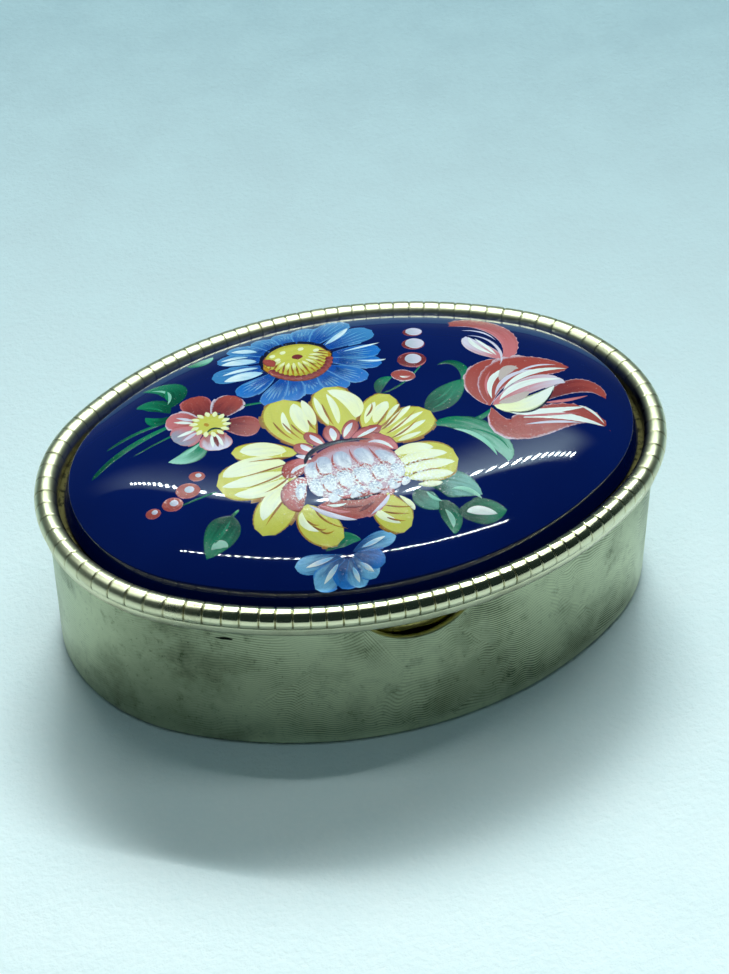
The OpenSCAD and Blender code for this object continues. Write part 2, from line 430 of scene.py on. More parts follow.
cement = Finish("bedding_cement", Roughness=0.9)
crumbs = cement.noise(4.0, 4, 0.7)
cement.feed(Base_Color=cement.mix(crumbs, rgb(196, 190, 170), rgb(150, 142, 120)),
            Normal=cement.bump(crumbs, 0.03))
finish_nodes(cement.material, "cement_bed")


# ========================================
# Lid rim: a half-round gilt moulding cut all round with a hundred narrow radial grooves,
# on a plain flange. It was pressed, then burnished, so its lobes are bright.
# ========================================

flutes = 100
bead_r = 0.95
bead_z = rim_high[2] / MM - bead_r
flange_in = 0.35
flange_low = rim_low[2] / MM
pan_edge = half_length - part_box("lid_pan")[1][0] / MM
pan_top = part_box("lid_pan")[1][2] / MM
groove_w = 0.055
groove_d = 0.12
lobe_fall = 0.008
lip_angle = -0.3
bead_rows = 52

# Places round one flute, closer together at the groove
flute_steps = np.array([0, 0.02, 0.04, 0.06, 0.085, 0.12, 0.2, 0.35,
                        0.5, 0.65, 0.8, 0.88, 0.915, 0.94, 0.96, 0.98])
chance = np.random.default_rng(7)
shift = chance.uniform(-0.05, 0.05, flutes)
cut = chance.uniform(0.75, 1.15, flutes)
flute_places = (np.arange(flutes)[:, None] + flute_steps[None, :] + 0.5).reshape(-1)
centre_angle = flute_places * 2 * math.pi / flutes
rim_turn = turns_by_centre_angle(centre_angle + math.pi / 2, bead_r)
crest_x, crest_y = oval_xy(bead_r, rim_turn)
crest_angle = np.unwrap(np.arctan2(crest_y, crest_x))
flute_angle = 2 * math.pi / flutes
nearest = np.round((crest_angle - math.pi / 2) / flute_angle - 0.5)
which = nearest.astype(int) % flutes
off = (crest_angle - math.pi / 2) / flute_angle - 0.5 - nearest - shift[which]
flute_l = flute_angle * np.hypot(crest_x, crest_y)
groove = hump(off * flute_l, 0, groove_w) * cut[which]
lobe = np.clip(np.abs(off) * 2, 0, 1)

bar_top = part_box("lid_hinge_bearer")[1][2] / MM
bar_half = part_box("lid_hinge_bearer")[1][0] / MM
rim_columns = []
rim_grooves = []
rim_painted_shade = []


def rim_column(inset, z, depth=0.0, lean=(0.0, 0.0), painted_inner_shade=0.0):
    """One line of points round the rim, sunk by the grooves along lean (inward, upward)."""
    sink = groove * groove_d * depth + lobe_fall * (1 - lobe) ** 2 * min(depth * 2, 1)
    x, y = oval_xy(inset + sink * lean[0], rim_turn)
    rim_columns.append(np.stack([x, y, z + sink * lean[1]], -1))
    rim_grooves.append(groove * depth)
    # The painted shade lies along the front, and thins out to none behind y = 8
    rim_painted_shade.append(painted_inner_shade * np.clip((8 - y) / 10, 0, 1))


foot_angle = math.pi + math.acos(1 - flange_in / bead_r)
foot_z = bead_z + bead_r * math.sin(foot_angle)
rim_column(2 * bead_r, pan_top, painted_inner_shade=1.0)
for bead_angle in np.linspace(lip_angle, foot_angle, bead_rows):
    # The cut is light inside and over the top, full down the outer face, and fades at the flange
    outer = 1 / (1 + math.exp(-(bead_angle - 1.9) * 4))
    fade = min(max((foot_angle - bead_angle) / 0.35, 0), 1)
    rise = min(max((bead_angle - lip_angle) / 0.4, 0), 1)
    # Painted shade darkens the bead's inner side, down into the gap round the painted oval
    inner_shade_share = min(max((0.95 - bead_angle) / 0.45, 0), 1)
    z = bead_z + bead_r * math.sin(bead_angle)
    if bead_angle < 0:
        rim_column(2 * bead_r, z, 0.3 * rise, (1, 0), inner_shade_share)
    else:
        inward = (-math.cos(bead_angle), -math.sin(bead_angle))
        depth = (0.45 + 0.55 * outer) * fade * rise
        rim_column(bead_r * (1 + math.cos(bead_angle)), z, depth, inward, inner_shade_share)
for z in (foot_z - 0.03, flange_low + 0.04):
    rim_column(flange_in, z)
rim_column(flange_in + 0.04, flange_low)
rim_column(pan_edge, flange_low)
rim_column(pan_edge, pan_top)
rim_points = np.stack(rim_columns, 1)
let_in = (np.abs(rim_points[..., 0]) < bar_half) & (rim_points[..., 1] > 0) & (rim_points[..., 2] < bar_top)
rim_points[..., 2] = np.where(let_in, bar_top, rim_points[..., 2])
rim = grid_mesh("lid_rim_fluted", cut_barrel_seat(rim_points), closed_v=True,
                values={"groove": np.stack(rim_grooves, 1), "painted_inner_shade": np.stack(rim_painted_shade, 1)})

burnished = Finish("burnished_gilt_rim", Metallic=1.0)
groove_dirt = burnished.value("groove")
clouds = burnished.noise(0.35, 4, 0.6).step(0.45, 0.7)
specks = burnished.noise(5.0, 3, 0.6).step(0.66, 0.78)
scratches = burnished.noise(2.5, 3, 0.6)
worn = (clouds * 0.3 + specks * 0.35 + groove_dirt * 0.6).clear()
# The front middle is the brightest, and fingers have dulled the ends and the back
rim_x, rim_y, _ = burnished.axes(burnished.place())
handled = rim_y.step(-12, 6).maths("MAXIMUM", abs(rim_x).step(13, 24))
plated = burnished.mix(worn, rgb(250, 244, 206), rgb(150, 140, 92))
# The rim's inner side is painted dark here, as shade in the gap round the painted oval
burnished.feed(Base_Color=burnished.mix(burnished.value("painted_inner_shade"), plated, rgb(40, 40, 30)),
               Roughness=(worn * 0.2 + handled * 0.2 + 0.12 + (scratches - 0.5) * 0.08).clear(),
               Normal=burnished.bump(scratches * 0.5 + specks * 0.5, 0.006, 0.5))
rim.data.materials.append(burnished.material)
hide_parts("lid_rim")
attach(rim, "lid")


# ========================================
# Painted oval: a thick glass dome of deep navy, fire-polished, with a steep side and a
# tight shoulder. It sits in the rim on its bed of cement.
# ========================================

oval_low, oval_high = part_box("painted_oval")
oval_foot_in = half_length - oval_high[0] / MM
oval_foot_z = oval_low[2] / MM
oval_top = oval_high[2] / MM
oval_lean = 0.48
crown_h = 2.4
crown_full = 3
shoulder_in = oval_foot_in + oval_lean
shoulder_z = oval_top - crown_h
crown_reach = end_r - shoulder_in


def dome_height(x, y):
    """Height of the dome over a place on its plan, all in millimetres."""
    x, y = np.abs(x), np.abs(y)
    at_end = y < (x - end_x) * 4 / 3
    inset = np.where(at_end, end_r - np.hypot(x - end_x, y), side_r - np.hypot(x, y + side_y))
    share = np.clip((inset - shoulder_in) / crown_reach, 0, 1)
    return shoulder_z + crown_h * (1 - (1 - share) ** crown_full)


oval_turns = 480
oval_turn = turns_by_centre_angle(np.arange(oval_turns) * 2 * math.pi / oval_turns, shoulder_in)
oval_columns = []
for share in (0, 0.25, 0.5, 0.75, 0.9, 0.97):
    x, y = oval_xy(oval_foot_in + oval_lean * share, oval_turn)
    z = oval_foot_z + (shoulder_z - oval_foot_z) * share
    oval_columns.append(np.stack([x, y, np.full(x.shape, z)], -1))
for share in np.linspace(0.006, 1, 70) ** 1.4:
    x, y = oval_xy(shoulder_in + crown_reach * share, oval_turn)
    oval_columns.append(np.stack([x, y, dome_height(x, y)], -1))
for share in np.linspace(1, 0, 9)[1:]:
    oval_columns.append(np.stack([x, y * share, np.full(x.shape, oval_top)], -1))
dome = grid_mesh("painted_oval_glass", np.stack(oval_columns, 1))

glaze = Finish("deep_navy_glass", Roughness=0.03, IOR=1.4)
depth_clouds = glaze.noise(0.09, 3, 0.5)
dust = glaze.noise(3.0, 4, 0.75).step(0.66, 0.74)
ripple = glaze.noise(0.5, 2, 0.5)
hairs = glaze.noise(1.0, 4, 0.8, glaze.place((9, 0.5, 1)))
navy = glaze.mix(depth_clouds, rgb(0, 14, 70), rgb(0, 27, 98))
glaze.feed(Base_Color=glaze.mix(dust * 0.12, navy, rgb(90, 120, 150)),
           Normal=glaze.bump(ripple * 0.8 + hairs * 0.05, 0.008, 0.5))
dome.data.materials.append(glaze.material)
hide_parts("painted_oval")
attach(dome, "lid")


# ========================================
# The painting: flowers in thick glossy enamel, laid with a small pointed brush. Each
# stroke is a thin raised film that lies over the strokes painted before it.
# ========================================

class Paint:
    """The strokes of one flower. A stroke follows a spine of plan points in millimetres,
    given as pairs or as one row of numbers, x and y in turn."""

    cell = 0.1
    film = 0.012
    edge_dip = 0.004
    laid = np.zeros((400, 560))

    def __init__(self, name):
        self.name = name
        self.points = []
        self.faces = []
        self.values = {label: [] for label in ("along", "edge", "hair", "streak", "root", "tip", "rim")}

    def cells(self, x, y):
        """The rows and columns of laid, the map of the paint's height, under plan points."""
        rows, columns = self.laid.shape
        row = np.clip((y / self.cell + rows / 2).astype(int), 1, rows - 2)
        return row, np.clip((x / self.cell + columns / 2).astype(int), 1, columns - 2)

    def shape(self, spine, width, swell, blunt, steps, across):
        """Plan points of a stroke: a smooth spine with its width swelling at swell."""
        spine = np.array(spine, float).reshape(-1, 2)
        t = np.linspace(0, 1, steps)
        at = np.linspace(0, 1, len(spine))
        x, y = (np.polyval(np.polyfit(at, spine[:, k], len(spine) - 1), t) for k in (0, 1))
        slope = np.stack([np.gradient(x), np.gradient(y)], -1)
        slope /= np.linalg.norm(slope, axis=1)[:, None] + 1e-9
        half = width / 2 * np.sin(math.pi * t ** (math.log(0.5) / math.log(swell))) ** blunt
        v = np.linspace(-1, 1, across)
        px = x[:, None] - slope[:, 1:2] * half[:, None] * v
        py = y[:, None] + slope[:, 0:1] * half[:, None] * v
        return px, py, np.broadcast_to(t[:, None], px.shape), np.broadcast_to(v, px.shape), half

    def stroke(self, spine, width, root, tip=None, rim=None, swell=0.5, blunt=0.6, streak=0.5, film=1.0):
        """Lays a stroke over the paint so far. It runs from root to tip and is edged with rim."""
        px, py, t, v, half = self.shape(spine, width, swell, blunt, 18, 9)
        rows, columns = self.cells(px, py)
        under = self.laid[rows, columns]
        body = self.film * film * (1 - np.abs(v) ** 3) * np.clip(12 * t * (1 - t) + 0.1, 0, 1)
        lift = under + body - self.edge_dip * (np.abs(v) > 0.99)
        pz = dome_height(px, py) + lift
        first = len(self.points)
        count = px.size
        self.points.extend(np.stack([px, py, pz], -1).reshape(-1, 3).tolist())
        index = first + np.arange(count).reshape(px.shape)
        quads = np.stack([index[:-1, :-1], index[1:, :-1], index[1:, 1:], index[:-1, 1:]], -1)
        self.faces.extend(quads.reshape(-1, 4).tolist())
        self.values["along"].extend(t.reshape(-1))
        self.values["edge"].extend(v.reshape(-1))
        # Each stroke starts its bristle marks at another place
        self.values["hair"].extend((v * half[:, None] + 7.3 * (first % 97)).reshape(-1))
        self.values["streak"].extend([streak] * count)
        for label, colour in (("root", root), ("tip", tip or root), ("rim", rim or tip or root)):
            self.values[label].extend([colour] * count)
        fine_x, fine_y = self.shape(spine, width, swell, blunt, 90, 60)[:2]
        rows, columns = self.cells(fine_x, fine_y)
        height = self.laid[rows, columns] + self.film * film
        grown = np.zeros_like(self.laid)
        for down in (-1, 0, 1):
            for right in (-1, 0, 1):
                np.maximum.at(grown, (rows + down, columns + right), height)
        np.maximum(self.laid, grown, out=Paint.laid)

    def finish(self):
        """Makes the strokes so far into one piece on the lid."""
        piece = add_piece(self.name, self.points, self.faces, self.values)
        piece.data.materials.append(enamel.material)
        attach(piece, "lid")


enamel = Finish("brushed_on_enamel", IOR=1.42)
along = enamel.value("along")
edge = abs(enamel.value("edge"))
hair = enamel.node("ShaderNodeCombineXYZ", None, {0: enamel.value("hair") * 2.6, 1: along * 1.3})
bristles = enamel.noise(1.0, 3, 0.6, hair)
streak = enamel.value("streak")
grains = enamel.noise(4.6, 3, 0.7)
drift = (along + (bristles - 0.5) * streak * 1.6).step(0.15, 0.95)
body_colour = enamel.mix(drift, enamel.value("root", "Color"), enamel.value("tip", "Color"))
# White specks painted along a band across the flower, where the lamps glint on its grainy enamel: painted
# highlights
paint_x, paint_y, _ = enamel.axes(enamel.place())
across_glint_band = paint_y + paint_x * 0.12
glint_band = across_glint_band.step(-10.6, -7.6) * (1 - across_glint_band.step(-6.4, -3.0))
glint_band = glint_band * paint_x.step(-9.5, -6.5) * (1 - paint_x.step(2.0, 7.0))
painted_glints = (enamel.noise(5.2, 3, 0.7) + glint_band * 0.17).step(0.64, 0.72) * (glint_band * 0.65 + 0.3)
shaded = enamel.mix(((bristles - 0.5) * streak * 0.9).clear(), body_colour, rgb(20, 24, 40))
outline = (edge + (grains - 0.5) * 0.3).step(0.74, 0.94) * 0.85
outlined = enamel.mix(outline, shaded, enamel.value("rim", "Color"))
enamel.feed(Base_Color=enamel.mix(painted_glints, outlined, rgb(250, 250, 250)),
            Roughness=((grains - 0.5) * 0.1 + 0.1).clear(),
            Normal=enamel.bump(grains * 0.8 + bristles * 0.2, 0.034, 0.9))

deep_green = rgb(0, 76, 56)
leaf_green = rgb(8, 122, 86)
pale_green = rgb(140, 200, 178)
milk = rgb(238, 240, 236)
cream = rgb(240, 238, 190)
yellow = rgb(206, 198, 84)
ochre = rgb(186, 132, 30)
brick = rgb(168, 72, 66)
rose = rgb(206, 116, 122)
wine = rgb(120, 44, 50)
lilac = rgb(216, 206, 224)
azure = rgb(30, 116, 200)
sky_blue = rgb(120, 184, 226)
night = rgb(4, 14, 50)


def spoke(centre, *stops):
    """A spine through places at a distance and an angle from a centre, 0 degrees to the right."""
    x, y = centre
    turned = [(far, math.radians(degrees)) for far, degrees in stops]
    return [(x + far * math.cos(angle), y + far * math.sin(angle)) for far, angle in turned]


# Stems and leaves, painted first: a dark body, then paler veins. Each row here and below
# is one stroke: the points of its spine, then its width and what else it needs.
leaves = Paint("painted_leaves")
for *spine, width in (
        (-21.9, 2.5, -18.5, 4.2, -13.8, 5.5, 0.65), (-19.8, 5.2, -17, 5.9, -13.8, 6.1, 0.4),
        (-18.2, 3, -15, 3.9, -13, 4.2, 0.22), (-9, 5.6, -7.5, 5.5, -6, 5.3, 0.3),
        (5.8, -2.2, 8.8, -3.2, 11.6, -2.2, 0.6), (3.5, 2.9, 5.8, 3.6, 8.6, 5.8, 0.2),
        (-13.2, -7.2, -12.8, -6.9, -12.3, -6.6, 0.3), (-16.8, -4.4, -15, -4.2, -13.2, -4, 0.2)):
    leaves.stroke(spine, width, deep_green, leaf_green, blunt=0.3)
for *spine, width, root, tip in (
        (-13.4, 8, -12.3, 10.6, -14.4, 12.6, 2.5, deep_green, leaf_green),
        (-13.6, 7.2, -14.4, 9.2, -15.8, 9.8, 1.9, deep_green, leaf_green),
        (-13.8, 6.8, -15, 6.6, -15.6, 7.8, 1.3, deep_green, leaf_green),
        (-12.3, 2.5, -13.6, 1, -15.8, 0.9, 1.9, leaf_green, pale_green),
        (-9.8, 14.6, -8.6, 14.2, -7.4, 14.8, 1.5, leaf_green, pale_green),
        (-13, -7, -14.2, -8.2, -16.2, -10, 3.1, deep_green, leaf_green),
        (6.1, -0.8, 8.2, 0.5, 10.7, 2.2, 2.7, deep_green, leaf_green),
        (9.5, 1, 11, 2.6, 10.9, 4.4, 9.3, 4.8, 0.95, leaf_green, deep_green),
        (3.3, 2.8, 4, 4.2, 5.2, 4.6, 1.1, deep_green, leaf_green),
        (5.9, -2.6, 8.6, -3.4, 10.3, -6.2, 10.2, -8.6, 2.4, leaf_green, rgb(120, 178, 156)),
        (3, -9.4, 4.8, -9.6, 6.8, -11.4, 3.4, deep_green, rgb(110, 170, 160)),
        (2, -9.4, 2.2, -10.6, 3.4, -11.8, 2.2, deep_green, rgb(80, 150, 130)),
        (3.2, -11, 3.6, -12.6, 3.2, -14.4, 1.9, deep_green, leaf_green),
        (4.2, -12.6, 6.2, -12.9, 8.2, -13.2, 2.7, deep_green, leaf_green)):
    leaves.stroke(spine, width, root, tip, rim=deep_green, blunt=0.75, streak=0.7)
for *spine, width, tint in (
        (-13.4, 8.6, -12.8, 10.4, -13.8, 12, 0.35, pale_green),
        (-13.2, 9.2, -13, 10.2, -12.7, 11.2, 0.3, leaf_green),
        (-14, 7.8, -14.6, 8.8, -15.3, 9.4, 0.28, leaf_green),
        (-12.6, 2.2, -13.8, 1.5, -15.2, 1.1, 0.35, pale_green),
        (-14.3, -9.7, -14.8, -9.2, -15.6, -9.4, 0.8, pale_green),
        (-13.3, -7.4, -14.2, -8.3, -15.2, -9, 0.3, leaf_green),
        (6.7, -0.5, 8.4, 0.2, 9.9, 1.8, 0.25, leaf_green), (7.2, 0.4, 8.6, 1, 9.8, 2.2, 0.2, leaf_green),
        (7.4, -3.6, 9, -5.2, 9.6, -7.8, 0.5, pale_green),
        (8.4, -3.8, 10.2, -5.4, 10.8, -7.4, 0.25, leaf_green),
        (3.3, -12, 3.5, -13, 3.3, -13.8, 0.5, pale_green), (4.9, -12.7, 6, -12.8, 7.3, -13.4, 0.9, milk),
        (4.6, -10.2, 5.8, -10.6, 6.6, -11.8, 0.5, pale_green),
        (2.6, -9.9, 2.8, -10.6, 3.4, -11.2, 0.35, pale_green)):
    leaves.stroke(spine, width, tint, tint, blunt=0.7, streak=0.9)
leaves.finish()

# The small blue flower at the front, half hidden by a green leaf
front_flower = Paint("painted_front_flower")
front = (-5.6, -13.6)
for degrees, reach, width, tip in (
        (176, 4.4, 1.8, sky_blue), (208, 3.9, 2.2, sky_blue), (240, 2.9, 2.2, azure),
        (268, 2.9, 2, sky_blue), (300, 2.9, 2, sky_blue), (328, 3, 1.9, azure), (4, 4.2, 1.7, sky_blue)):
    front_flower.stroke(spoke(front, (0.4, degrees), (reach * 0.6, degrees + 4), (reach, degrees)),
                        width, rgb(18, 70, 130), tip, rim=azure, swell=0.62, blunt=0.6, streak=0.9)
for degrees, reach in ((210, 3.2), (268, 2.5), (302, 2.5), (6, 3.4), (178, 3.6)):
    front_flower.stroke(spoke(front, (1.2, degrees), (reach, degrees + 3)), 0.4, sky_blue, milk, blunt=0.8)
front_flower.stroke([(-7.2, -12.9), (-5.7, -12.3), (-4.2, -12.8)], 1.5, deep_green, leaf_green, blunt=0.8)
front_flower.finish()

# The blue daisy: petals outlined in pale blue round a domed yellow eye
daisy = Paint("painted_blue_daisy")
eye_of_daisy = (-1.4, 9.9)
petals = ((84, 5.9, 2.4), (107, 6, 2.2), (63, 6.5, 2.3), (129, 6.9, 2.4), (149, 7, 2.3), (-92, 5.2, 2.8),
          (-118, 5.8, 2.6), (-68, 5.9, 2.6), (-47, 6.6, 2.2), (-26, 7.2, 2.1), (-10, 7.2, 2.2),
          (-133, 6.9, 2), (-156, 7, 2.2), (175, 7.5, 2.7), (17, 8, 3.2), (42, 8.4, 3))
petal_blue = rgb(10, 72, 160)
line_blue = rgb(104, 168, 214)
for degrees, reach, width in petals:
    tip = rgb(62, 132, 190) if degrees > 0 else rgb(34, 116, 200)
    daisy.stroke(spoke(eye_of_daisy, (2.2, degrees), (reach * 0.68, degrees + 2), (reach, degrees)),
                 width, petal_blue, tip, rim=rgb(88, 152, 206), swell=0.68, blunt=0.42, streak=0.7)
    for side in (-9, -4.5, 0, 4.5, 9):
        end = reach - 0.6 - abs(side) * 0.07
        vein = spoke(eye_of_daisy, (3.5, degrees + side * 0.6), (end, degrees + side * width / 3))
        daisy.stroke(vein, 0.17, petal_blue, line_blue, blunt=0.9, streak=1.0)
pale_blue = rgb(176, 214, 238)
for *spine, width in (
        (-8.1, 9.5, -6.4, 9.5, -4.7, 9.3, 1.15), (-7.9, 10.5, -6.2, 10.5, -4.8, 10.2, 0.5),
        (-7.4, 12.4, -6, 12, -4.6, 11.3, 1), (-7.2, 13.1, -6, 12.9, -5, 12.4, 0.5),
        (-5.8, 14.5, -4.9, 13.8, -4, 12.9, 0.75), (4.5, 13.6, 3.2, 12.4, 1.6, 11.3, 0.6),
        (6, 9.8, 4.4, 9.7, 2.6, 9.6, 0.28), (5.6, 7.2, 4.6, 7.3, 3.2, 7.9, 0.3)):
    daisy.stroke(spine, width, rgb(226, 238, 244), pale_blue, blunt=0.7, streak=1.0)
daisy.stroke([(-4.7, 9.95), (-1.4, 10.05), (1.8, 9.95)], 6.5, night, night, blunt=0.5)
daisy.stroke([(-4.5, 9.75), (-1.45, 9.75), (1.6, 9.75)], 6.0, ochre, ochre, rim=wine, blunt=0.5, streak=0.6)
daisy.stroke([(-4.2, 10.1), (-1.45, 10.1), (1.4, 10.1)], 5.3, yellow, yellow, rim=rgb(176, 160, 50),
             blunt=0.5, streak=0.5)
for degrees in range(196, 350, 9):
    spine = spoke((-1.45, 11.2), (1.9, degrees)) + spoke((-1.45, 10.6), (3.2, degrees))
    daisy.stroke(spine, 0.2, wine, ochre, blunt=0.8)
for degrees in range(206, 340, 16):
    spine = spoke((-1.45, 11.0), (1.4, degrees)) + spoke((-1.45, 10.9), (2.7, degrees))
    daisy.stroke(spine, 0.36, cream, yellow, blunt=0.7)
for degrees in range(196, 350, 11):
    spine = spoke(eye_of_daisy, (2.35, degrees), (3.05, degrees + 3))
    daisy.stroke(spine, 0.62, wine, brick, blunt=0.5)
for x, y in ((-3.1, 11.4), (-2.1, 11.6), (-0.5, 11.5), (0.6, 10.7), (-2.9, 10.6)):
    daisy.stroke([(x - 0.25, y - 0.2), (x + 0.2, y + 0.25)], 0.5, cream, cream, blunt=0.6)
daisy.stroke([(-4.0, 11.2), (-3.7, 10.5), (-3.6, 9.7)], 0.95, brick, brick, rim=wine)
daisy.stroke([(-1.7, 10.35), (-1.25, 10.4), (-0.8, 10.2)], 0.95, wine, wine, rim=ochre)
daisy.finish()

# The small red flower: six round petals, the lower ones washed with white
red_flower = Paint("painted_red_flower")
heart = (-11.1, 4.2)
for degrees, reach, root, tip, edging in (
        (94, 4.4, wine, brick, rose), (146, 3.8, brick, rose, lilac), (42, 4.3, wine, brick, lilac),
        (-26, 4.2, wine, brick, rose), (196, 3.6, rose, rgb(150, 150, 170), rose),
        (264, 3.5, brick, lilac, rose)):
    red_flower.stroke(spoke(heart, (0.6, degrees), (reach * 0.6, degrees), (reach, degrees)),
                      2.9, root, tip, rim=edging, swell=0.64, blunt=0.46, streak=0.6)
for degrees, tint in ((138, lilac), (150, milk), (190, milk), (204, lilac), (256, milk), (272, milk),
                      (264, wine)):
    red_flower.stroke(spoke(heart, (1.4, degrees), (3.1, degrees)), 0.38, tint, tint, blunt=0.8, streak=0.8)
red_flower.stroke([(-12.6, 4.2), (-11.1, 4.2), (-9.6, 4.2)], 2.9, yellow, yellow, rim=ochre, blunt=0.45)
for degrees in range(0, 360, 26):
    red_flower.stroke(spoke(heart, (1.0, degrees), (1.75, degrees + 5)), 0.42, cream, cream, blunt=0.7)
for degrees in (-35, -10, 15, 40):
    red_flower.stroke(spoke(heart, (1.35, degrees), (1.75, degrees + 4)), 0.24, night, night, blunt=0.7)
red_flower.stroke([(-11.7, 3.2), (-11.0, 3.55), (-10.4, 3.1)], 0.26, deep_green, night)
red_flower.stroke([(-11.6, 4.2), (-11.2, 4.3)], 0.55, ochre, ochre)
red_flower.finish()

# Buds: a row at the back, and a spray at the left
buds = Paint("painted_buds")
bud_grey = rgb(186, 190, 204)
for x, y, across, body, light in (
        (9.3, 10.5, 1.7, wine, 1.45), (8.6, 8.5, 2, wine, 1.65), (7.6, 6.3, 2.5, wine, 1.45),
        (-18.7, -4.1, 1.2, brick, 0.5), (-17, -3.9, 1.7, brick, 0.7), (-15.4, -3, 2, brick, 0.8),
        (-14.2, -1.7, 1.3, brick, 0.5)):
    spine = [(x - across / 2, y + 0.2), (x, y), (x + across / 2, y - 0.2)]
    buds.stroke(spine, across * 0.95, body, body, rim=rose, blunt=0.5)
    spine = [(x - light / 2 + 0.15, y + 0.15), (x + light / 2 + 0.15, y)]
    buds.stroke(spine, light, bud_grey, lilac, blunt=0.5)
buds.stroke([(5.2, 5.0), (6.1, 4.5), (7.0, 3.9)], 1.7, brick, brick, rim=lilac, blunt=0.55)
buds.stroke([(5.8, 4.5), (6.2, 4.2), (6.7, 4.2)], 0.3, milk, rose)
buds.finish()

# The tulip: long brick-red petals streaked and edged with white
tulip = Paint("painted_tulip")
petal_edge = rgb(212, 190, 204)
beige = rgb(196, 176, 172)
for *spine, width, root, tip, swell in (
        (12.7, 10.6, 15.6, 10.3, 16.6, 6.6, 13.9, 2.5, 2.5, brick, rose, 0.36),
        (13.3, 8.2, 13.4, 6.4, 14.2, 5, 14.7, 3.6, 1.9, lilac, rose, 0.42),
        (14, -3.2, 17.8, -1.7, 20.4, -1.3, 21.5, -3, 2.1, wine, brick, 0.62),
        (11.4, -2.1, 12.6, -5.2, 16.8, -4.6, 20.2, -6.8, 3.6, brick, brick, 0.5),
        (11.4, -1.9, 11.2, 1, 12.4, 2.9, 14.4, 3.8, 2, brick, brick, 0.5),
        (11.4, -1.9, 13.6, 1.6, 16.8, 2, 20, 1.4, 3.9, brick, brick, 0.52),
        (11.6, -1.9, 14.4, -0.8, 17, -0.2, 18.7, -0.8, 2, rose, lilac, 0.5)):
    tulip.stroke(spine, width, root, tip, rim=petal_edge, swell=swell, blunt=0.66, streak=0.5)
for *spine, width, tint in (
        (13.5, 8, 13.5, 6.4, 14.4, 4.6, 0.5, milk), (13.9, 7.6, 14.3, 6, 14.6, 4.4, 0.35, milk),
        (13.5, 8.3, 14.9, 7, 15.1, 4.8, 14.3, 3, 0.3, lilac),
        (13.6, 10.2, 15.6, 8.8, 15.9, 6.2, 14.8, 3.8, 0.28, rose),
        (13.4, 9.4, 14.9, 8.6, 15.5, 6.8, 0.25, lilac), (11.9, -1.1, 13, 1.4, 15.6, 2.4, 0.6, milk),
        (11.7, -0.8, 12.2, 1, 13.2, 2.4, 0.22, rose), (12.3, -0.8, 14.2, 1.1, 16.9, 1.5, 0.45, lilac),
        (13.4, 0.9, 14.6, 2.1, 15.6, 2, 1, beige), (13.2, -0.4, 16, 1.1, 19.7, 1.2, 0.6, milk),
        (15, 1.3, 17, 2, 19, 1.8, 0.25, lilac), (12.4, -1.5, 15, -0.2, 18.6, -0.2, 0.75, milk),
        (12.4, -3, 15, -3.9, 19.2, -4, 0.75, milk), (13.4, -4.2, 16.2, -4.6, 19.9, -6.3, 0.9, milk),
        (13, -3.9, 15.4, -4.4, 18.4, -4.7, 0.3, rose), (13.2, -5, 15.6, -5.3, 18, -5.8, 0.3, lilac),
        (15.6, -2.9, 17.8, -3, 20, -2.6, 0.35, rose), (18.6, -3.8, 19.5, -4.6, 20, -6, 0.3, milk)):
    tulip.stroke(spine, width, tint, tint, blunt=0.8, streak=0.8)
tulip.stroke([(11.7, -2.0), (14.4, -2.7), (17.6, -1.0)], 1.75, cream, milk, rim=rgb(150, 160, 110),
             swell=0.45, blunt=0.75)
tulip.stroke([(12.2, -1.8), (13.8, -1.7), (15.2, -1.2)], 0.9, beige, beige, swell=0.5)
tulip.stroke([(12.6, -3.1), (15.0, -3.5), (17.4, -1.3)], 0.2, night, night)
tulip.finish()

# The great flower: yellow outer petals, each worked with cream and dark red-brown
outer = Paint("painted_great_flower_petals")
earth = rgb(140, 82, 44)
straw = rgb(190, 180, 60)
fuller = 1.25
for *spine, width, swell in (
        (1, -6.2, 3.8, -6.6, 6.4, -7.2, 5.6, 0.54), (-1, -8.4, -0.9, -11, 0.1, -12.8, 3.6, 0.58),
        (-7, -8, -6.9, -10.4, -5.4, -12.2, 3.7, 0.56), (-7.4, -5.6, -9.2, -7.4, -11.4, -9.8, 3.7, 0.6),
        (-6, -3.9, -9.6, -3.8, -13.1, -3.4, 5.3, 0.62), (-5.6, -1.9, -8, -0.9, -10.7, 0, 2.8, 0.6),
        (1, -2.8, 3.6, -1.8, 6.5, -0.8, 4.6, 0.6), (0.6, -1.6, 2.2, 0.6, 4.1, 2.5, 3.4, 0.62),
        (-4.2, -1.6, -4.8, 1.8, -4.4, 5, 5, 0.6), (-1.4, -1, -0.7, 2.2, -0.7, 5.3, 4.4, 0.6)):
    outer.stroke(spine, width, ochre, straw, rim=earth, swell=swell, blunt=0.42, streak=0.5)
    outer.stroke(spine, width * 0.82, yellow, yellow, rim=yellow, swell=swell, blunt=0.46, streak=0.4)
